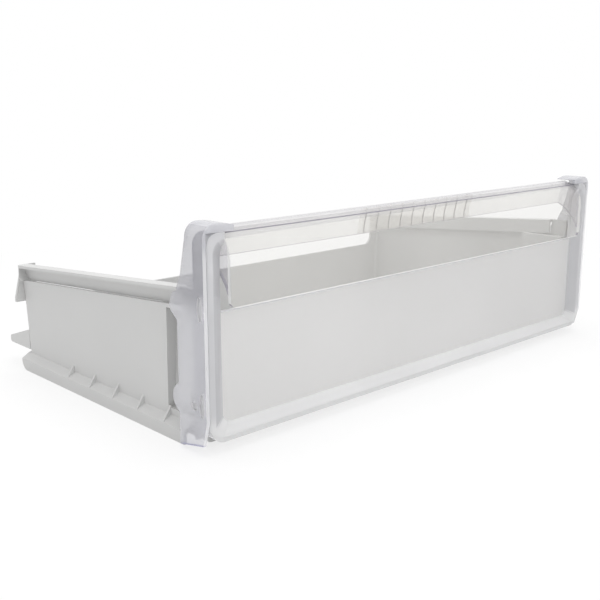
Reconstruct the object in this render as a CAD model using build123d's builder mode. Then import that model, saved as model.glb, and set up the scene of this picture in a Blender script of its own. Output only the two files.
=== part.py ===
from build123d import *
import math
import os

os.makedirs("parts", exist_ok=True)

# Shallow freezer drawer, in millimetres: X to the right, Y to the back, Z up.
# Depths are measured back from the plane of the front panel's rim, heights from the runners' feet.

# Clear front: overall sizes
front_width = 440.0
panel_bottom = 7.5
panel_corner = 12.0
post_corner = 8.0
return_depth = 14.0
clear_wall = 2.5
fit_gap = 0.4

# Border and recessed plate of the front panel
rim_face = 4.5
bevel_width = 9.5
plate_recess = 5.5
lower_rim = 3.2
lower_bevel = 7.0
upper_rim = 4.0
recess_corner = 9.0
plate_top = 90.0
plate_edge = 0.8

# Handle hood: flap in front, band on top, ribbed skirt behind
flap_proud = 4.0
flap_bottom = 93.0
flap_corner = 5.0
bend_drop = 22.0
bend_radius = 24.0
bend_angle = 50.0
hood_wall = 2.4
hood_depth = 16.5
hood_top = 142.4
post_drop = 2.8
skirt_depth = 19.6
skirt_drop = 21.0
web_bulge = 4.2
grip_ribs = 10
grip_pitch = 13.3
grip_rib = 0.9
grip_margin = 0.8
tongue_depth = 7.0
tongue_height = 8.0
tongue_drop = 22.4

# End caps
cap_wall = 2.6
cap_depth = 28.0
cap_bottom_back = 2.0
shoulder_depth = 23.2
shoulder_height = 112.5
cap_cover = 0.5
cap_top_depth = 17.5
dome_reach = 24.0
dome_corner = 9.0
dome_fall = 2.0
toe_height = 15.0
toe_set_back = 4.0
lobe_height = 33.3
lobe_radius = 9.8
lobe_inset = 3.5
clip_reach = 7.5
clip_top = 104.0
clip_height = 24.0
shelf_heights = (23.5, 42.5, 62.5, 109.5)
shelf_thickness = 1.6
shelf_reach = 2.8
barb_heights = (33.0, 92.0)
barb_height = 10.0
barb_depth = 3.0
hook_heights = (33.0, 94.0)
hook_depth = 4.4
hook_width = 2.0
hook_height = 7.5
latch_size = 4.5
latch_depth = 12.0
latch_height = 31.0

# White bin
bin_back = 250.0
bin_wall = 2.2
side_gap = 6.0
wall_draft = 4.0
floor_height = 3.0
floor_corner = 5.0
upstand = 11.0
back_wall_top = 55.0
back_notch_inset = 9.0
back_notch_corner = 10.0
flange_top = 100.0

# Rim turned out and down along each side wall
rim_start = 29.5
rim_front = 103.5
rim_back = 86.0
rim_lip = 12.6
rim_channel = 3.6
rim_corner = 6.0

# Stop ear and lug at each rear corner
ear_width = 7.0
ear_top = 84.0
ear_widest = 60.0
ear_bottom = 56.5
lug_length = 32.0
lug_root_top = 31.5
lug_tip_top = 21.0
lug_bottom = 15.5
lug_thickness = 8.0

# Runner with gussets under each side wall
runner_height = 9.0
runner_rise = 4.0
runner_corner = 8.0
gusset_count = 5
gusset_first = 51.0
gusset_pitch = 31.4
gusset_height = 6.0
gusset_thickness = 2.0

# Stepped recess near the front of each side wall
recess_back = 51.0
recess_lean = 2.6
recess_low = 17.5
recess_high = 87.0
recess_step = 5.0

# Derived places
front_half = front_width / 2
cap_inner = front_half - cap_wall
panel_half = cap_inner - fit_gap
bevel_half = panel_half - rim_face
plate_half = bevel_half - bevel_width
hood_half = plate_half - fit_gap
post_top = hood_top - post_drop
recess_top = post_top - upper_rim
cap_top = hood_top + cap_cover + cap_wall
bend_start = hood_top - bend_drop
skirt_bottom = hood_top - skirt_drop
tongue_base = hood_top - tongue_drop
skirt_turn = 2 * math.atan2(skirt_depth - hood_depth, skirt_drop)
skirt_radius = skirt_drop / 2 / math.sin(skirt_turn)
runner_start = cap_depth + fit_gap
bin_front = return_depth + fit_gap
brim_half = front_half - side_gap
foot_half = brim_half - wall_draft
recess_half = foot_half - recess_step
back_notch_half = foot_half - back_notch_inset
front_y = (flap_proud - bin_back - lug_length) / 2


def across(depth):
    """Plane facing the front, with X to the right and Z up."""
    return Plane(origin=(0, front_y + depth, 0), x_dir=(1, 0, 0), z_dir=(0, -1, 0))


def along(x):
    """Plane facing the right, with depth as its first axis and Z up."""
    return Plane(origin=(x, front_y, 0), x_dir=(0, 1, 0), z_dir=(1, 0, 0))


def level(height):
    """Level plane, with X as its first axis and depth as its second."""
    return Plane(origin=(0, front_y, height), x_dir=(1, 0, 0), z_dir=(0, 0, 1))


def wall_half(height):
    """Half the bin's outer width at a height: the side walls lean out a little."""
    return foot_half + (brim_half - foot_half) * (height - floor_height) / (rim_front - floor_height)


def rim_height(depth):
    """Height of the sloping rim at a depth."""
    return rim_front + (rim_back - rim_front) * (depth - rim_start) / (bin_back - rim_start)


# Bin: a drafted tub, hollowed, with the front left open
with BuildPart() as bin_body:
    with BuildSketch(across(bin_front)):
        with BuildLine():
            Polyline(
                (-foot_half, floor_height),
                (foot_half, floor_height),
                (brim_half, rim_front),
                (-brim_half, rim_front),
                close=True,
            )
        make_face()
    extrude(amount=bin_front - bin_back)
    rear_face = bin_body.faces().sort_by(Axis.Y)[-1]
    fillet(rear_face.edges().filter_by(Axis.X, reverse=True), radius=floor_corner)
    under_face = bin_body.faces().sort_by(Axis.Z)[0]
    fillet(under_face.edges().sort_by(Axis.Y)[1:], radius=floor_corner)
    open_top = bin_body.faces().sort_by(Axis.Z)[-1]
    open_front = bin_body.faces().sort_by(Axis.Y)[0]
    offset(amount=-bin_wall, openings=[open_top, open_front])

    # Side walls fall away towards the back, and the back wall is lower still
    with BuildSketch(along(0)):
        with BuildLine():
            Polyline(
                (rim_start, rim_front),
                (bin_back, rim_back),
                (bin_back + fit_gap, rim_front + fit_gap),
                (rim_start, rim_front + fit_gap),
                close=True,
            )
        make_face()
    extrude(amount=brim_half + fit_gap, both=True, mode=Mode.SUBTRACT)
    with BuildSketch(across(bin_back + fit_gap)):
        with Locations((0, back_wall_top)):
            Rectangle(2 * back_notch_half, rim_front - back_wall_top, align=(Align.CENTER, Align.MIN))
    extrude(amount=bin_wall + 2 * fit_gap, mode=Mode.SUBTRACT)
    notch_edges = bin_body.edges().filter_by(Axis.Y).group_by(SortBy.LENGTH)[0]
    notch_low = notch_edges.filter_by_position(Axis.Z, back_wall_top - fit_gap, back_wall_top + fit_gap)
    fillet(notch_low, radius=back_notch_corner)

    # Flange round the front opening, which the caps' barbs hook behind
    with BuildSketch(across(bin_front)):
        with BuildLine():
            Polyline(
                (-foot_half + floor_corner, floor_height),
                (foot_half - floor_corner, floor_height),
                (foot_half, panel_bottom),
                (panel_half - fit_gap, panel_bottom),
                (panel_half - fit_gap, flange_top),
                (-panel_half + fit_gap, flange_top),
                (-panel_half + fit_gap, panel_bottom),
                (-foot_half, panel_bottom),
                close=True,
            )
        make_face()
        with BuildLine():
            Polyline(
                (-wall_half(upstand) + bin_wall, upstand),
                (wall_half(upstand) - bin_wall, upstand),
                (wall_half(flange_top) - bin_wall, flange_top),
                (-wall_half(flange_top) + bin_wall, flange_top),
                close=True,
            )
        make_face(mode=Mode.SUBTRACT)
    extrude(amount=-bin_wall)

    # Stepped recess: a pad inside the wall, then a pocket from outside
    pad_low = recess_low - bin_wall
    pad_high = recess_high + bin_wall
    with BuildSketch(across(bin_front)):
        with BuildLine():
            Polyline(
                (-recess_half + bin_wall, pad_low),
                (-recess_half + bin_wall, pad_high),
                (-wall_half(pad_high) + bin_wall / 2, pad_high),
                (-wall_half(pad_low) + bin_wall / 2, pad_low),
                close=True,
            )
        make_face()
    extrude(amount=bin_front - recess_back - recess_lean - bin_wall)
    with BuildSketch(along(-recess_half)):
        with BuildLine():
            Polyline(
                (bin_front + bin_wall, recess_low),
                (recess_back + recess_lean, recess_low),
                (recess_back - recess_lean, recess_high),
                (bin_front + bin_wall, recess_high),
                close=True,
            )
        make_face()
    extrude(amount=recess_half - panel_half, mode=Mode.SUBTRACT)

    # Rim: a band along the top of the wall, with a channel open to the outside and closed at the back
    channel_floor = wall_half(rim_back) - rim_channel
    with BuildSketch(along(-panel_half)) as band_outline:
        with BuildLine():
            Polyline(
                (rim_start, rim_height(rim_start)),
                (bin_back, rim_height(bin_back)),
                (bin_back, rim_height(bin_back) - rim_lip),
                (rim_start, rim_height(rim_start) - rim_lip),
                close=True,
            )
        make_face()
        band_end = band_outline.vertices().sort_by_distance((bin_back, 0, 0))[0]
        fillet(band_end, radius=rim_lip - bin_wall)
    extrude(amount=panel_half - channel_floor + bin_wall)
    with BuildSketch(along(-panel_half)) as channel_outline:
        with BuildLine():
            Polyline(
                (rim_start, rim_height(rim_start) - bin_wall),
                (bin_back - bin_wall, rim_height(bin_back - bin_wall) - bin_wall),
                (bin_back - bin_wall, rim_height(bin_back - bin_wall) - rim_lip),
                (rim_start, rim_height(rim_start) - rim_lip),
                close=True,
            )
        make_face()
        channel_end = channel_outline.vertices().sort_by_distance((bin_back, 0, 0))[0]
        fillet(channel_end, radius=rim_lip - 2 * bin_wall)
    extrude(amount=panel_half - channel_floor, mode=Mode.SUBTRACT)
    with BuildSketch(level(ear_widest)):
        with Locations((-panel_half, bin_back)):
            Rectangle(rim_corner, rim_corner, align=(Align.MIN, Align.MAX))
        with Locations((-panel_half + rim_corner, bin_back - rim_corner)):
            Circle(rim_corner, mode=Mode.SUBTRACT)
    extrude(amount=rim_front - ear_widest, mode=Mode.SUBTRACT)

    # Stop ear: a fin in the plane of the back wall
    with BuildSketch(across(bin_back)):
        with BuildLine():
            Polyline(
                (-wall_half(ear_top) + floor_corner + bin_wall, ear_top),
                (-wall_half(ear_top), ear_top),
                (-wall_half(ear_widest) - ear_width, ear_widest),
                (-wall_half(ear_widest) - ear_width, ear_bottom),
                (-wall_half(ear_bottom) + floor_corner + bin_wall, ear_bottom),
                close=True,
            )
        make_face()
    extrude(amount=bin_wall)

    # Lug reaching back in the plane of the side wall
    with BuildSketch(along(-wall_half(lug_bottom))) as lug_outline:
        with BuildLine():
            Polyline(
                (bin_back - bin_wall, lug_root_top),
                (bin_back, lug_root_top),
                (bin_back + lug_length, lug_tip_top),
                (bin_back + lug_length, lug_bottom),
                (bin_back - bin_wall, lug_bottom),
                close=True,
            )
        make_face()
        fillet(lug_outline.vertices().group_by(Axis.X)[-1], radius=bin_wall)
    extrude(amount=lug_thickness)

    # Runner: a skirt with a sloping ledge up to the wall, closed at the back
    with BuildSketch(across(runner_start)):
        with BuildLine():
            Polyline(
                (-panel_half, 0),
                (-panel_half, runner_height),
                (-wall_half(runner_height + runner_rise), runner_height + runner_rise),
                (-wall_half(runner_height + runner_rise) + bin_wall, runner_height + runner_rise),
                (-wall_half(runner_height) + bin_wall, runner_height),
                (-panel_half + bin_wall, runner_height - bin_wall),
                (-panel_half + bin_wall, 0),
                close=True,
            )
        make_face()
    extrude(amount=runner_start - bin_back)
    with BuildSketch(across(bin_back)):
        with BuildLine():
            Polyline(
                (-panel_half, 0),
                (-panel_half, runner_height),
                (-wall_half(runner_height + runner_rise), runner_height + runner_rise),
                (-foot_half + floor_corner, runner_height + runner_rise),
                (-foot_half + floor_corner, 0),
                close=True,
            )
        make_face()
    extrude(amount=bin_wall)
    runner_end = bin_body.edges().filter_by(Axis.X).filter_by_position(Axis.Z, -fit_gap, fit_gap)
    fillet(runner_end.sort_by(Axis.Y)[-1], radius=runner_corner)

    # Gussets between the runner's ledge and the wall
    gusset_depths = [gusset_first + k * gusset_pitch for k in range(gusset_count)]
    with BuildSketch(*[across(depth) for depth in gusset_depths]):
        with BuildLine():
            Polyline(
                (-panel_half, runner_height - bin_wall / 2),
                (-panel_half, runner_height),
                (-wall_half(runner_height), runner_height + runner_rise + gusset_height),
                (-wall_half(runner_height) + bin_wall / 2, runner_height - bin_wall / 2),
                close=True,
            )
        make_face()
    extrude(amount=-gusset_thickness)

    split(bisect_by=Plane.YZ, keep=Keep.BOTTOM)
    mirror(about=Plane.YZ)

bin_body.part.label = "bin"
export_step(bin_body.part, "parts/bin.step")

# Front panel: a clear tray with a bevelled border and a recessed plate
with BuildPart() as front_panel:
    with BuildSketch(across(0)) as panel_outline:
        with Locations((0, panel_bottom)):
            Rectangle(2 * panel_half, post_top - panel_bottom, align=(Align.CENTER, Align.MIN))
        fillet(panel_outline.vertices().group_by(Axis.Y)[0], radius=panel_corner)
        fillet(panel_outline.vertices().group_by(Axis.Y)[-1], radius=post_corner)
    extrude(amount=-return_depth)
    offset(amount=-clear_wall, openings=front_panel.faces().sort_by(Axis.Y)[-1])

    # The recess is a tapered well: its outside is added behind the front skin, then it is cut out
    for skin, step in ((clear_wall, Mode.ADD), (0, Mode.SUBTRACT)):
        mouth_low = panel_bottom + lower_rim - skin / 2
        mouth_high = recess_top + skin / 2
        with BuildSketch(across(0)):
            with Locations((0, mouth_low)):
                Rectangle(2 * bevel_half + skin, mouth_high - mouth_low, align=(Align.CENTER, Align.MIN))
            fillet(vertices(), radius=recess_corner)
        well_low = panel_bottom + lower_rim + lower_bevel - skin / 2
        well_high = recess_top - lower_bevel + skin / 2
        with BuildSketch(across(plate_recess + skin)):
            with Locations((0, well_low)):
                Rectangle(2 * plate_half + skin, well_high - well_low, align=(Align.CENTER, Align.MIN))
            fillet(vertices(), radius=recess_corner - bin_wall)
        loft(mode=step)

    # Opening above the plate for the handle hood
    with BuildSketch(across(-fit_gap)):
        with Locations((0, plate_top)):
            Rectangle(2 * plate_half, post_top - plate_top + fit_gap, align=(Align.CENTER, Align.MIN))
    extrude(amount=-return_depth - 2 * fit_gap, mode=Mode.SUBTRACT)

    # Eased edges along the top of the plate
    plate_brim = front_panel.edges().filter_by(Axis.X)
    plate_brim = plate_brim.filter_by_position(Axis.Z, plate_top - fit_gap, plate_top + fit_gap)
    chamfer(plate_brim, length=plate_edge)

    # Hooks and latch that show in the caps' windows
    with BuildSketch(along(-panel_half)):
        with Locations(*[(hook_depth, height) for height in hook_heights]):
            Ellipse(hook_width, hook_height)
        with Locations((latch_depth, latch_height)):
            Rectangle(latch_size - 2 * fit_gap, latch_size - 2 * fit_gap)
    extrude(amount=-(cap_wall - fit_gap))

    split(bisect_by=Plane.YZ, keep=Keep.BOTTOM)
    mirror(about=Plane.YZ)

front_panel.part.label = "front_panel"
export_step(front_panel.part, "parts/front_panel.step")

# Handle hood: one thin curved section, with a rounded web at each end
with BuildPart() as handle_hood:
    with BuildSketch(along(0)) as hood_section:
        with BuildLine() as hood_path:
            flap = Line((-flap_proud, flap_bottom), (-flap_proud, bend_start))
            bend = JernArc(flap @ 1, (0, 1), bend_radius, -bend_angle)
            band = Line(bend @ 1, (hood_depth, hood_top))
            upper = JernArc(band @ 1, (0, -1), skirt_radius, math.degrees(skirt_turn))
            JernArc(upper @ 1, upper % 1, skirt_radius, -math.degrees(skirt_turn))
            offset(amount=hood_wall, side=Side.RIGHT)
        make_face()
        fillet(hood_section.vertices().sort_by_distance((hood_depth, hood_top, 0))[0], radius=hood_wall)
    extrude(amount=-hood_half)
    with BuildSketch(along(-hood_half)):
        with BuildLine():
            flap = Line((-flap_proud, flap_bottom), (-flap_proud, bend_start))
            bend = JernArc(flap @ 1, (0, 1), bend_radius, -bend_angle)
            corner = (hood_depth - hood_wall / 2, hood_top - hood_wall)
            web_low = (skirt_depth - hood_wall / 2, skirt_bottom)
            Polyline(bend @ 1, corner, web_low)
            SagittaArc(web_low, flap @ 0, -web_bulge)
        make_face()
    extrude(amount=hood_wall)

    # Rounded corners of the flap as seen from the front
    with BuildSketch(across(-flap_proud - fit_gap)):
        with Locations((0, flap_bottom)):
            Rectangle(2 * hood_half, hood_top - flap_bottom + flap_corner, align=(Align.CENTER, Align.MIN))
        fillet(vertices(), radius=flap_corner)
    extrude(amount=-(flap_proud + skirt_depth + 2 * fit_gap), mode=Mode.INTERSECT)

    # Grip ribs down the back of the skirt, following its S-curve
    rib_places = [-(k + 0.5) * grip_pitch for k in range(grip_ribs // 2)]
    rib_top = hood_top - hood_wall
    rib_radius = (rib_top - skirt_bottom - grip_margin) / 2 / math.sin(skirt_turn)
    with BuildSketch(*[along(x) for x in rib_places]):
        with BuildLine():
            upper = JernArc((hood_depth + grip_rib, rib_top), (0, -1), rib_radius, math.degrees(skirt_turn))
            lower = JernArc(upper @ 1, upper % 1, rib_radius, -math.degrees(skirt_turn))
            root_low = (skirt_depth - hood_wall / 2, skirt_bottom + grip_margin)
            Polyline(lower @ 1, root_low, (hood_depth - hood_wall / 2, rib_top), upper @ 0)
        make_face()
    extrude(amount=grip_rib / 2, both=True)

    # Tongue that reaches behind the post into the end cap
    with BuildSketch(along(-hood_half)):
        with Locations((hood_depth - hood_wall / 2 - tongue_depth, tongue_base)):
            Rectangle(tongue_depth, tongue_height, align=(Align.MIN, Align.MIN))
    extrude(amount=hood_half - panel_half + clear_wall + fit_gap)

    mirror(about=Plane.YZ)

handle_hood.part.label = "handle_hood"
export_step(handle_hood.part, "parts/handle_hood.step")

# Left end cap: end wall with clip lobes and windows, shelves inside and a domed top
with BuildPart() as left_end_cap:
    with BuildSketch(along(-front_half)):
        with BuildLine():
            Polyline(
                (0, panel_bottom + toe_height),
                (toe_set_back, panel_bottom - (panel_bottom - cap_bottom_back) * toe_set_back / cap_depth),
                (cap_depth, cap_bottom_back),
                (cap_depth - (cap_depth - shoulder_depth) / 8, clip_top),
                (shoulder_depth, shoulder_height),
                (cap_top_depth, cap_top - dome_corner),
                (0, cap_top - dome_corner),
                close=True,
            )
        make_face()
        with Locations((cap_depth - lobe_inset, lobe_height)):
            Circle(lobe_radius)
        with BuildLine():
            Polyline(
                (shoulder_depth, clip_top),
                (cap_depth + clip_reach - lobe_inset, clip_top - lobe_inset),
                (cap_depth + clip_reach, clip_top - clip_height / 2),
                (cap_depth + clip_reach - lobe_inset / 2, clip_top - clip_height / 2 - lobe_inset),
                (shoulder_depth, clip_top - clip_height),
                close=True,
            )
        make_face()
        with Locations(*[(hook_depth, height) for height in hook_heights]):
            Ellipse(hook_width + fit_gap, hook_height + fit_gap, mode=Mode.SUBTRACT)
        with Locations((latch_depth, latch_height)):
            Rectangle(latch_size, latch_size, mode=Mode.SUBTRACT)
    extrude(amount=cap_wall)

    # Domed top over the post and the end of the hood, hollowed behind a front lip
    dome_low = cap_top - 2 * dome_corner
    with BuildSketch(across(0)):
        with BuildLine():
            rise = Line((-front_half, dome_low), (-front_half, cap_top - dome_corner))
            shoulder = JernArc(rise @ 1, (0, 1), dome_corner, -90)
            crown_end = (-front_half + dome_reach, cap_top - dome_fall)
            crown = TangentArc(shoulder @ 1, crown_end, tangent=(1, 0))
            Polyline(crown_end, (-front_half + dome_reach, dome_low), rise @ 0)
        make_face()
    extrude(amount=-cap_top_depth)
    with BuildSketch(across(clear_wall)):
        with BuildLine():
            rise = Line((-cap_inner, dome_low), (-cap_inner, cap_top - dome_corner))
            shoulder = JernArc(rise @ 1, (0, 1), dome_corner - cap_wall, -90)
            hollow_end = -front_half + 2 * dome_reach
            Polyline(shoulder @ 1, (hollow_end, cap_top - cap_wall), (hollow_end, dome_low), rise @ 0)
        make_face()
    extrude(amount=clear_wall - cap_top_depth, mode=Mode.SUBTRACT)
    with BuildSketch(across(0)):
        with Locations((-cap_inner, dome_low)):
            Rectangle(2 * dome_reach, post_top + fit_gap - dome_low, align=(Align.MIN, Align.MIN))
    extrude(amount=-clear_wall, mode=Mode.SUBTRACT)

    # Shelves and barbs on the inside of the end wall
    with BuildSketch(along(-cap_inner)):
        shelf_front = bin_front + bin_wall + fit_gap
        for height in shelf_heights:
            with Locations((shelf_front, height)):
                Rectangle(shoulder_depth - shelf_front, shelf_thickness, align=(Align.MIN, Align.CENTER))
        for height in barb_heights:
            with Locations((shelf_front, height)):
                Rectangle(barb_depth, barb_height, align=(Align.MIN, Align.CENTER))
    extrude(amount=shelf_reach)

left_end_cap.part.label = "left_end_cap"
export_step(left_end_cap.part, "parts/left_end_cap.step")

# Right end cap: the mirror image
with BuildPart() as right_end_cap:
    mirror(left_end_cap.part, about=Plane.YZ)

right_end_cap.part.label = "right_end_cap"
export_step(right_end_cap.part, "parts/right_end_cap.step")
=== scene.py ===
import math

import bmesh
import bpy
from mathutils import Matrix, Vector


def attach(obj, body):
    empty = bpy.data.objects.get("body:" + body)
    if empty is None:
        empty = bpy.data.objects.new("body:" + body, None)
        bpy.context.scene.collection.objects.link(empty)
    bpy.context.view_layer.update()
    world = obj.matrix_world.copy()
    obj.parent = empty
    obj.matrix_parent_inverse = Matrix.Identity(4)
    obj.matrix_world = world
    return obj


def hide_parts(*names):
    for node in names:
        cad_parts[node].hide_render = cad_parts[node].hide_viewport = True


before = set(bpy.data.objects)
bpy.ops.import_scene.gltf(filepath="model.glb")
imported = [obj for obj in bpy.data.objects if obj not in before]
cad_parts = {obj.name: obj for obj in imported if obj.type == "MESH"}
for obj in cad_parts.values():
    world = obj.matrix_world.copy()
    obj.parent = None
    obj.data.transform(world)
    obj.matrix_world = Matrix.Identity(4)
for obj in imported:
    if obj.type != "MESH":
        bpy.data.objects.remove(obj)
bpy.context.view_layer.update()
scene = bpy.context.scene
scene.view_settings.view_transform = "Standard"

# Bin: the white tray that carries everything else, with rims, runners and ears in one piece.
# It is injection moulded in polystyrene, satin inside and out.
# The plastic's flow leaves faint clouds of tone and gloss, and the tool a very fine grain.
mm = 0.001

flow_group = bpy.data.node_groups.new("moulding_flow", "ShaderNodeTree")
for name, kind in (("Dark", "NodeSocketColor"), ("Light", "NodeSocketColor"), ("Scale", "NodeSocketFloat"),
                   ("Gloss", "NodeSocketFloat"), ("Gloss Spread", "NodeSocketFloat")):
    flow_group.interface.new_socket(name, in_out="INPUT", socket_type=kind)
flow_group.interface.new_socket("Color", in_out="OUTPUT", socket_type="NodeSocketColor")
flow_group.interface.new_socket("Roughness", in_out="OUTPUT", socket_type="NodeSocketFloat")
nodes, links = flow_group.nodes, flow_group.links
given = nodes.new("NodeGroupInput")
result = nodes.new("NodeGroupOutput")
place = nodes.new("ShaderNodeTexCoord")
clouds = nodes.new("ShaderNodeTexNoise")
clouds.inputs["Detail"].default_value = 3.0
links.new(place.outputs["Object"], clouds.inputs["Vector"])
links.new(given.outputs["Scale"], clouds.inputs["Scale"])
spread = nodes.new("ShaderNodeMapRange")
spread.inputs["From Min"].default_value = 0.3
spread.inputs["From Max"].default_value = 0.7
links.new(clouds.outputs["Fac"], spread.inputs["Value"])
tone = nodes.new("ShaderNodeMix")
tone.data_type = "RGBA"
links.new(spread.outputs["Result"], tone.inputs["Factor"])
links.new(given.outputs["Dark"], tone.inputs["A"])
links.new(given.outputs["Light"], tone.inputs["B"])
links.new(tone.outputs["Result"], result.inputs["Color"])
gloss = nodes.new("ShaderNodeMath")
gloss.operation = "MULTIPLY_ADD"
links.new(spread.outputs["Result"], gloss.inputs[0])
links.new(given.outputs["Gloss Spread"], gloss.inputs[1])
links.new(given.outputs["Gloss"], gloss.inputs[2])
links.new(gloss.outputs[0], result.inputs["Roughness"])


def moulded_plastic(name, dark, light, scale, gloss, gloss_spread):
    finish = bpy.data.materials.new(name)
    finish.use_nodes = True
    nodes, links = finish.node_tree.nodes, finish.node_tree.links
    skin = nodes["Principled BSDF"]
    flow = nodes.new("ShaderNodeGroup")
    flow.node_tree = flow_group
    flow.inputs["Dark"].default_value = dark
    flow.inputs["Light"].default_value = light
    flow.inputs["Scale"].default_value = scale
    flow.inputs["Gloss"].default_value = gloss
    flow.inputs["Gloss Spread"].default_value = gloss_spread
    links.new(flow.outputs["Color"], skin.inputs["Base Color"])
    links.new(flow.outputs["Roughness"], skin.inputs["Roughness"])
    return finish, nodes, links, skin


bin_white, nodes, links, skin = moulded_plastic(
    "bin_white", (0.605, 0.605, 0.60, 1), (0.64, 0.64, 0.635, 1), 9.0, 0.40, 0.08)
place = nodes.new("ShaderNodeTexCoord")
grain = nodes.new("ShaderNodeTexNoise")
grain.inputs["Scale"].default_value = 1600.0
links.new(place.outputs["Object"], grain.inputs["Vector"])
bump = nodes.new("ShaderNodeBump")
bump.inputs["Strength"].default_value = 0.05
bump.inputs["Distance"].default_value = 0.05 * mm
links.new(grain.outputs["Fac"], bump.inputs["Height"])
links.new(bump.outputs["Normal"], skin.inputs["Normal"])
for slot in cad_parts["bin"].material_slots:
    slot.material = bin_white

# Front panel: one clear moulding with a polished border round an etched plate.
# The etching is a fine lattice of dots that turns the plate milky.
# The panel snaps over the bin's front flange.
rim_to_origin = 139 * mm
plate_y = 5.5 * mm - rim_to_origin
plate_slack = 0.05 * mm
dot_pitch = 1.5 * mm
bottom_bevel_top = 20 * mm
border_ior = 1.3
milkiness = 0.4
merge_gap = 0.0001 * mm
hard_edge = math.radians(30)
far = 1

zone_group = bpy.data.node_groups.new("soft_zone", "ShaderNodeTree")
for name, kind in (("Low", "NodeSocketVector"), ("High", "NodeSocketVector"), ("Edge", "NodeSocketFloat")):
    zone_group.interface.new_socket(name, in_out="INPUT", socket_type=kind)
zone_group.interface.new_socket("Mask", in_out="OUTPUT", socket_type="NodeSocketFloat")
nodes, links = zone_group.nodes, zone_group.links
given = nodes.new("NodeGroupInput")
result = nodes.new("NodeGroupOutput")
place = nodes.new("ShaderNodeTexCoord")
past_low = nodes.new("ShaderNodeVectorMath")
past_low.operation = "SUBTRACT"
links.new(place.outputs["Object"], past_low.inputs[0])
links.new(given.outputs["Low"], past_low.inputs[1])
past_high = nodes.new("ShaderNodeVectorMath")
past_high.operation = "SUBTRACT"
links.new(given.outputs["High"], past_high.inputs[0])
links.new(place.outputs["Object"], past_high.inputs[1])
inside = nodes.new("ShaderNodeVectorMath")
inside.operation = "MINIMUM"
links.new(past_low.outputs[0], inside.inputs[0])
links.new(past_high.outputs[0], inside.inputs[1])
axes = nodes.new("ShaderNodeSeparateXYZ")
links.new(inside.outputs[0], axes.inputs[0])
least = nodes.new("ShaderNodeMath")
least.operation = "MINIMUM"
links.new(axes.outputs["X"], least.inputs[0])
links.new(axes.outputs["Y"], least.inputs[1])
depth = nodes.new("ShaderNodeMath")
depth.operation = "MINIMUM"
links.new(least.outputs[0], depth.inputs[0])
links.new(axes.outputs["Z"], depth.inputs[1])
soft = nodes.new("ShaderNodeMapRange")
soft.interpolation_type = "SMOOTHSTEP"
links.new(depth.outputs[0], soft.inputs["Value"])
links.new(given.outputs["Edge"], soft.inputs["From Max"])
links.new(soft.outputs["Result"], result.inputs["Mask"])


def tint_zone(finish, low, high, edge, colour):
    nodes, links = finish.node_tree.nodes, finish.node_tree.links
    skin = nodes["Principled BSDF"]
    zone = nodes.new("ShaderNodeGroup")
    zone.node_tree = zone_group
    zone.inputs["Low"].default_value = low
    zone.inputs["High"].default_value = high
    zone.inputs["Edge"].default_value = edge
    tint = nodes.new("ShaderNodeMix")
    tint.data_type = "RGBA"
    tint.inputs["B"].default_value = colour
    links.new(zone.outputs["Mask"], tint.inputs["Factor"])
    links.new(skin.inputs["Base Color"].links[0].from_socket, tint.inputs["A"])
    links.new(tint.outputs["Result"], skin.inputs["Base Color"])
    return zone.outputs["Mask"]


polished, nodes, links, skin = moulded_plastic(
    "front_polished", (0.91, 0.91, 0.915, 1), (0.95, 0.95, 0.953, 1), 12.0, 0.06, 0.04)
# Painted light: the border is darkened from 16 mm up as painted shade, so the upward-facing bottom band keeps a
# painted highlight.
tint_zone(polished, (-far, -far, 16 * mm), (far, far, far), 12 * mm, (0.78, 0.78, 0.80, 1))
skin.inputs["IOR"].default_value = border_ior
skin.inputs["Transmission Weight"].default_value = milkiness

# Painted shade: a darker copy of the border finish for the upright side bevels, standing in for the shade on them.
shaded_bevel, nodes, links, skin = moulded_plastic(
    "front_bevel_painted_shade", (0.66, 0.66, 0.68, 1), (0.72, 0.72, 0.735, 1), 12.0, 0.06, 0.04)
skin.inputs["IOR"].default_value = border_ior
skin.inputs["Transmission Weight"].default_value = milkiness

etched, nodes, links, skin = moulded_plastic(
    "front_etched", (0.86, 0.855, 0.845, 1), (0.90, 0.893, 0.885, 1), 7.0, 0.50, 0.06)
place = nodes.new("ShaderNodeTexCoord")
lattice = nodes.new("ShaderNodeMapping")
lattice.inputs["Rotation"].default_value = (math.radians(90), 0, math.radians(45))
links.new(place.outputs["Object"], lattice.inputs["Vector"])
dots = nodes.new("ShaderNodeTexVoronoi")
dots.voronoi_dimensions = "2D"
dots.inputs["Scale"].default_value = 1 / dot_pitch
dots.inputs["Randomness"].default_value = 0.0
links.new(lattice.outputs["Vector"], dots.inputs["Vector"])
dot_mask = nodes.new("ShaderNodeMapRange")
dot_mask.inputs["From Min"].default_value = 0.25
dot_mask.inputs["From Max"].default_value = 0.45
links.new(dots.outputs["Distance"], dot_mask.inputs["Value"])
tone = nodes.new("ShaderNodeMix")
tone.data_type = "RGBA"
tone.blend_type = "MULTIPLY"
tone.inputs["B"].default_value = (0.95, 0.95, 0.95, 1)
links.new(dot_mask.outputs["Result"], tone.inputs["Factor"])
links.new(skin.inputs["Base Color"].links[0].from_socket, tone.inputs["A"])
links.new(tone.outputs["Result"], skin.inputs["Base Color"])
bump = nodes.new("ShaderNodeBump")
bump.invert = True
bump.inputs["Strength"].default_value = 0.15
bump.inputs["Distance"].default_value = 0.1 * mm
links.new(dot_mask.outputs["Result"], bump.inputs["Height"])
links.new(bump.outputs["Normal"], skin.inputs["Normal"])
skin.inputs["IOR"].default_value = border_ior
skin.inputs["Transmission Weight"].default_value = milkiness


def merged_copy(node):
    shape = bmesh.new()
    shape.from_mesh(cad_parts[node].data)
    bmesh.ops.remove_doubles(shape, verts=shape.verts, dist=merge_gap)
    return shape


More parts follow.
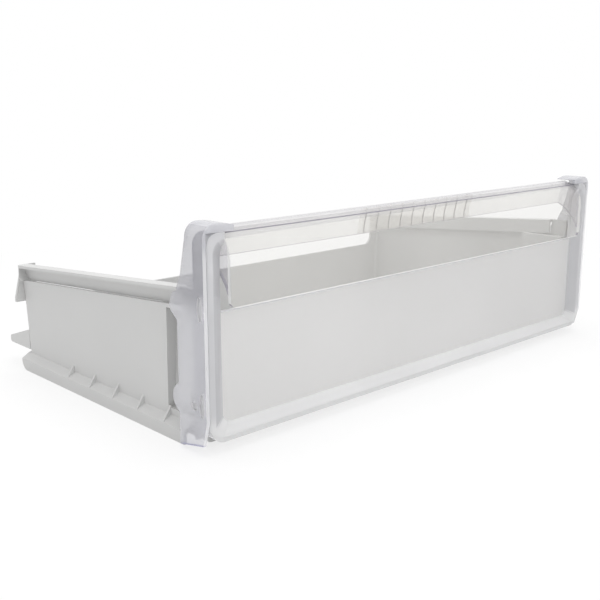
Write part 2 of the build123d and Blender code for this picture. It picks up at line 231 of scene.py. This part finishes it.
def skin_of(node, shape, finishes):
    for edge in shape.edges:
        edge.smooth = edge.calc_face_angle(0) < hard_edge
    for face in shape.faces:
        face.smooth = True
    mesh = bpy.data.meshes.new(node + "_skin")
    shape.to_mesh(mesh)
    shape.free()
    for finish in finishes:
        mesh.materials.append(finish)
    piece = bpy.data.objects.new(node + "_skin", mesh)
    scene.collection.objects.link(piece)
    return piece


front_finishes = [polished, etched, shaded_bevel]
front_shape = merged_copy("front_panel")
for face in front_shape.faces:
    middle, facing = face.calc_center_median(), face.normal
    if facing.y < -0.99 and abs(middle.y - plate_y) < plate_slack:
        finish = etched
    # The upright side bevels get the painted-shade copy of the border finish.
    elif facing.y < -0.5 and abs(facing.x) > 0.25 and middle.z > bottom_bevel_top:
        finish = shaded_bevel
    else:
        finish = polished
    face.material_index = front_finishes.index(finish)
front = skin_of("front_panel", front_shape, front_finishes)
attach(front, "root")
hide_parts("front_panel")

# Handle hood: the clearest moulding, a curved flap to pull on with a ribbed skirt behind it.
# It is polished on both sides, apart from the frosted grip ribs in the middle of the skirt.
# Its end webs drop into the caps.
rib_pitch = 13.3 * mm
rib_zone_half = 5 * rib_pitch
rib_top_z = 136.8 * mm
skirt_y = 13.5 * mm - rim_to_origin
skirt_low_z = 122.5 * mm
web_x = 200 * mm
lip_z = 94 * mm
crease_y = 4.6 * mm - rim_to_origin
crease_z = 138.8 * mm
band_wall = 3 * mm
flap_back_y = -1.6 * mm - rim_to_origin
band_back_y = 15.2 * mm - rim_to_origin
cut_gap = 0.001 * mm
clear_cover, frosted_cover = 0.19, 0.60

hood_finishes = {}
for name, dark, light, gloss, cover in (
        ("hood_clear", (0.70, 0.685, 0.65, 1), (0.76, 0.745, 0.71, 1), 0.06, clear_cover),
        ("hood_frosted", (0.90, 0.88, 0.84, 1), (0.96, 0.94, 0.90, 1), 0.45, frosted_cover),
        ("hood_web", (0.60, 0.58, 0.63, 1), (0.66, 0.64, 0.68, 1), 0.15, 0.33),
        # Painted shade: a dark, nearly opaque finish for the hood's downward-facing faces.
        ("hood_underside_painted_shade", (0.30, 0.29, 0.34, 1), (0.38, 0.37, 0.42, 1), 0.15, 0.80),
        # Painted shade: the top band's flat faces are greyed to draw dark lines along the band.
        ("hood_band_painted_shade", (0.46, 0.45, 0.47, 1), (0.54, 0.53, 0.54, 1), 0.12, 0.38),
        # Painted highlight: a near-white, nearly opaque finish for the flap's lower edge and end faces.
        ("hood_lip_painted_highlight", (0.93, 0.93, 0.92, 1), (0.97, 0.97, 0.96, 1), 0.20, 0.75)):
    finish, nodes, links, skin = moulded_plastic(name, dark, light, 14.0, gloss, 0.05)
    skin.inputs["Alpha"].default_value = cover
    hood_finishes[name] = finish


def cover_by_mask(finish, mask, plain, marked):
    nodes, links = finish.node_tree.nodes, finish.node_tree.links
    cover = nodes.new("ShaderNodeMapRange")
    cover.inputs["To Min"].default_value = plain
    cover.inputs["To Max"].default_value = marked
    links.new(mask, cover.inputs["Value"])
    links.new(cover.outputs["Result"], nodes["Principled BSDF"].inputs["Alpha"])


# Painted shade: a dark, nearly opaque line along the crease where the flap meets the top band.
crease_shade_mask = tint_zone(hood_finishes["hood_clear"], (-far, crease_y - 1.0 * mm, crease_z - 1.5 * mm),
                   (far, crease_y + 1.0 * mm, far), 0.5 * mm, (0.20, 0.19, 0.23, 1))
cover_by_mask(hood_finishes["hood_clear"], crease_shade_mask, clear_cover, 0.92)

# Painted shade: dark, more opaque lines along the real grip ribs stand in for the shade along their sides.
skin = hood_finishes["hood_frosted"].node_tree.nodes["Principled BSDF"]
nodes, links = hood_finishes["hood_frosted"].node_tree.nodes, hood_finishes["hood_frosted"].node_tree.links
place = nodes.new("ShaderNodeTexCoord")
axes = nodes.new("ShaderNodeSeparateXYZ")
links.new(place.outputs["Object"], axes.inputs[0])
steps = nodes.new("ShaderNodeMath")
steps.operation = "DIVIDE"
steps.inputs[1].default_value = rib_pitch
links.new(axes.outputs["X"], steps.inputs[0])
within = nodes.new("ShaderNodeMath")
within.operation = "FRACT"
links.new(steps.outputs[0], within.inputs[0])
off_rib = nodes.new("ShaderNodeMath")
off_rib.operation = "SUBTRACT"
off_rib.inputs[1].default_value = 0.5
links.new(within.outputs[0], off_rib.inputs[0])
beside = nodes.new("ShaderNodeMath")
beside.operation = "ABSOLUTE"
links.new(off_rib.outputs[0], beside.inputs[0])
rib_shade_line = nodes.new("ShaderNodeMapRange")
rib_shade_line.inputs["From Min"].default_value = 0.065
rib_shade_line.inputs["From Max"].default_value = 0.04
links.new(beside.outputs[0], rib_shade_line.inputs["Value"])
below = nodes.new("ShaderNodeMapRange")
below.inputs["From Min"].default_value = rib_top_z
below.inputs["From Max"].default_value = rib_top_z - 1.0 * mm
links.new(axes.outputs["Z"], below.inputs["Value"])
painted_rib_shade = nodes.new("ShaderNodeMath")
painted_rib_shade.operation = "MULTIPLY"
links.new(rib_shade_line.outputs["Result"], painted_rib_shade.inputs[0])
links.new(below.outputs["Result"], painted_rib_shade.inputs[1])
cover_by_mask(hood_finishes["hood_frosted"], painted_rib_shade.outputs[0], frosted_cover, 0.86)
tint = nodes.new("ShaderNodeMix")
tint.data_type = "RGBA"
tint.inputs["B"].default_value = (0.39, 0.38, 0.38, 1)
links.new(painted_rib_shade.outputs[0], tint.inputs["Factor"])
links.new(skin.inputs["Base Color"].links[0].from_socket, tint.inputs["A"])
links.new(tint.outputs["Result"], skin.inputs["Base Color"])

hood_order = list(hood_finishes)
hood_shape = merged_copy("handle_hood")
for cut_at, across in (((-rib_zone_half, 0, 0), (1, 0, 0)), ((rib_zone_half, 0, 0), (1, 0, 0)),
                       ((0, flap_back_y, 0), (0, 1, 0)), ((0, band_back_y, 0), (0, 1, 0))):
    bmesh.ops.bisect_plane(hood_shape, geom=hood_shape.verts[:] + hood_shape.edges[:] + hood_shape.faces[:],
                           dist=cut_gap, plane_co=cut_at, plane_no=across)
for face in hood_shape.faces:
    middle, facing = face.calc_center_median(), face.normal
    at_web = abs(middle.x) > web_x
    sideways = abs(facing.x) > 0.9
    under = facing.z < -0.3 and middle.z < skirt_low_z and (at_web or facing.z < -0.9)
    # The flap's end faces get the painted highlight; the webs behind it get their own lavender-grey.
    if sideways and at_web:
        finish = "hood_lip_painted_highlight" if middle.y < flap_back_y else "hood_web"
    # Downward faces get painted shade, apart from the flap's lower edge, which gets a painted highlight.
    elif under:
        finish = "hood_lip_painted_highlight" if middle.z < lip_z and abs(middle.x) < web_x else "hood_underside_painted_shade"
    elif middle.y > band_back_y and facing.z > 0.2 and middle.z > crease_z:
        finish = "hood_web"
    # The top band's flat faces get the painted-shade grey.
    elif abs(facing.z) > 0.7 and middle.z > crease_z - band_wall and middle.y > crease_y:
        finish = "hood_band_painted_shade"
    elif abs(middle.x) < rib_zone_half and middle.y > skirt_y and facing.y > -0.3:
        finish = "hood_frosted"
    else:
        finish = "hood_clear"
    face.material_index = hood_order.index(finish)
hood = skin_of("handle_hood", hood_shape, hood_finishes.values())
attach(hood, "root")
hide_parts("handle_hood")

# End caps: a mirrored pair of clear polystyrene mouldings that close the front's ends.
# Their lobes and latch clip them to the bin's side walls.
# The clear plastic has a lavender cast, strongest along the foot.
wall_cover = 0.38
foot_z = 9 * mm

cap_finishes = {}
for name, dark, light, gloss, cover in (
        ("cap_wall", (0.75, 0.75, 0.80, 1), (0.81, 0.81, 0.855, 1), 0.10, wall_cover),
        # Painted highlight: the caps' edge faces are lighter and more opaque to draw white edge lines.
        ("cap_edge_painted_highlight", (0.86, 0.86, 0.88, 1), (0.92, 0.92, 0.93, 1), 0.08, 0.60),
        ("cap_foot", (0.20, 0.20, 0.58, 1), (0.28, 0.28, 0.66, 1), 0.12, 0.85)):
    finish, nodes, links, skin = moulded_plastic(name, dark, light, 20.0, gloss, 0.06)
    skin.inputs["Alpha"].default_value = cover
    cap_finishes[name] = finish
upper = tint_zone(cap_finishes["cap_wall"], (-far, -far, 88 * mm), (far, far, far), 14 * mm, (0.52, 0.52, 0.56, 1))
cover_by_mask(cap_finishes["cap_wall"], upper, wall_cover, 0.46)
# The painted highlight is darker above 124 mm.
tint_zone(cap_finishes["cap_edge_painted_highlight"], (-far, -far, 124 * mm), (far, far, far), 10 * mm, (0.62, 0.62, 0.66, 1))

cap_order = list(cap_finishes)
for node in ("left_end_cap", "right_end_cap"):
    cap_shape = merged_copy(node)
    for face in cap_shape.faces:
        if face.normal.z < -0.5 and face.calc_center_median().z < foot_z:
            finish = "cap_foot"
        else:
            # Edge faces get the painted highlight.
            finish = "cap_edge_painted_highlight" if abs(face.normal.x) < 0.5 else "cap_wall"
        face.material_index = cap_order.index(finish)
    cap = skin_of(node, cap_shape, cap_finishes.values())
    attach(cap, "root")
    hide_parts(node)

# Stage: a white floor that runs out of sight, a white world and two soft lamps.
floor_reach = 30
floor_mesh = bpy.data.meshes.new("floor")
floor_shape = bmesh.new()
bmesh.ops.create_grid(floor_shape, x_segments=1, y_segments=1, size=floor_reach)
floor_shape.to_mesh(floor_mesh)
floor_shape.free()
floor = bpy.data.objects.new("floor", floor_mesh)
scene.collection.objects.link(floor)
floor_white = bpy.data.materials.new("floor_white")
floor_white.use_nodes = True
nodes, links = floor_white.node_tree.nodes, floor_white.node_tree.links
skin = nodes["Principled BSDF"]
skin.inputs["Base Color"].default_value = (0.9, 0.9, 0.9, 1)
skin.inputs["Roughness"].default_value = 0.9
skin.inputs["Specular IOR Level"].default_value = 0.0
ray = nodes.new("ShaderNodeLightPath")
through = nodes.new("ShaderNodeMath")
through.operation = "MAXIMUM"
seen = nodes.new("ShaderNodeMath")
seen.operation = "MAXIMUM"
links.new(ray.outputs["Is Camera Ray"], through.inputs[0])
links.new(ray.outputs["Is Transmission Ray"], through.inputs[1])
links.new(through.outputs[0], seen.inputs[0])
links.new(ray.outputs["Is Glossy Ray"], seen.inputs[1])
place = nodes.new("ShaderNodeTexCoord")
away = nodes.new("ShaderNodeVectorMath")
away.operation = "LENGTH"
links.new(place.outputs["Object"], away.inputs[0])
fade = nodes.new("ShaderNodeMapRange")
fade.interpolation_type = "SMOOTHSTEP"
fade.inputs["From Min"].default_value = 0.25
fade.inputs["From Max"].default_value = 0.6
fade.inputs["To Min"].default_value = 0.75
fade.inputs["To Max"].default_value = 1.0
links.new(away.outputs["Value"], fade.inputs["Value"])
part = nodes.new("ShaderNodeMath")
part.operation = "MULTIPLY"
links.new(seen.outputs[0], part.inputs[0])
links.new(fade.outputs["Result"], part.inputs[1])
glow = nodes.new("ShaderNodeEmission")
mix = nodes.new("ShaderNodeMixShader")
links.new(part.outputs[0], mix.inputs["Fac"])
links.new(skin.outputs["BSDF"], mix.inputs[1])
links.new(glow.outputs["Emission"], mix.inputs[2])
links.new(mix.outputs["Shader"], nodes["Material Output"].inputs["Surface"])
floor_mesh.materials.append(floor_white)

world = bpy.data.worlds.new("studio")
scene.world = world
world.use_nodes = True
nodes, links = world.node_tree.nodes, world.node_tree.links
ray = nodes.new("ShaderNodeLightPath")
through = nodes.new("ShaderNodeMath")
through.operation = "MAXIMUM"
seen = nodes.new("ShaderNodeMath")
seen.operation = "MAXIMUM"
links.new(ray.outputs["Is Camera Ray"], through.inputs[0])
links.new(ray.outputs["Is Transmission Ray"], through.inputs[1])
links.new(through.outputs[0], seen.inputs[0])
links.new(ray.outputs["Is Glossy Ray"], seen.inputs[1])
level = nodes.new("ShaderNodeMapRange")
level.inputs["To Min"].default_value = 0.66
level.inputs["To Max"].default_value = 1.0
links.new(seen.outputs[0], level.inputs["Value"])
links.new(level.outputs["Result"], nodes["Background"].inputs["Strength"])
nodes["Background"].inputs["Color"].default_value = (1, 1, 1, 1)

# Two soft lamps, one high above and one low in front, as in a product studio.
for name, spot, size, power in (("overhead", (0.0, 0.1, 1.9), 1.8, 22), ("front", (-0.28, -0.9, 0.5), 0.8, 2.0)):
    lamp_data = bpy.data.lights.new(name, "AREA")
    lamp_data.energy = power
    lamp_data.size = size
    lamp = bpy.data.objects.new(name, lamp_data)
    lamp.location = spot
    lamp.rotation_mode = "QUATERNION"
    lamp.rotation_quaternion = (Vector((0, 0, 0.05)) - lamp.location).to_track_quat("-Z", "Y")
    scene.collection.objects.link(lamp)

# Camera: the photo's eye point, looking down a little along the left front corner.
eye = Vector((-0.529, -0.549, 0.2215))
pitch = math.radians(13.3)
heading = Vector((0.687, 0.727))
gaze = Vector((math.cos(pitch) * heading.x, math.cos(pitch) * heading.y, -math.sin(pitch)))
camera_data = bpy.data.cameras.new("camera")
camera_data.sensor_width = 36
camera_data.lens = 888 / 600 * 36
camera_data.clip_start = 0.01
camera = bpy.data.objects.new("camera", camera_data)
camera.location = eye
camera.rotation_mode = "QUATERNION"
camera.rotation_quaternion = gaze.to_track_quat("-Z", "Y")
scene.collection.objects.link(camera)
scene.camera = camera
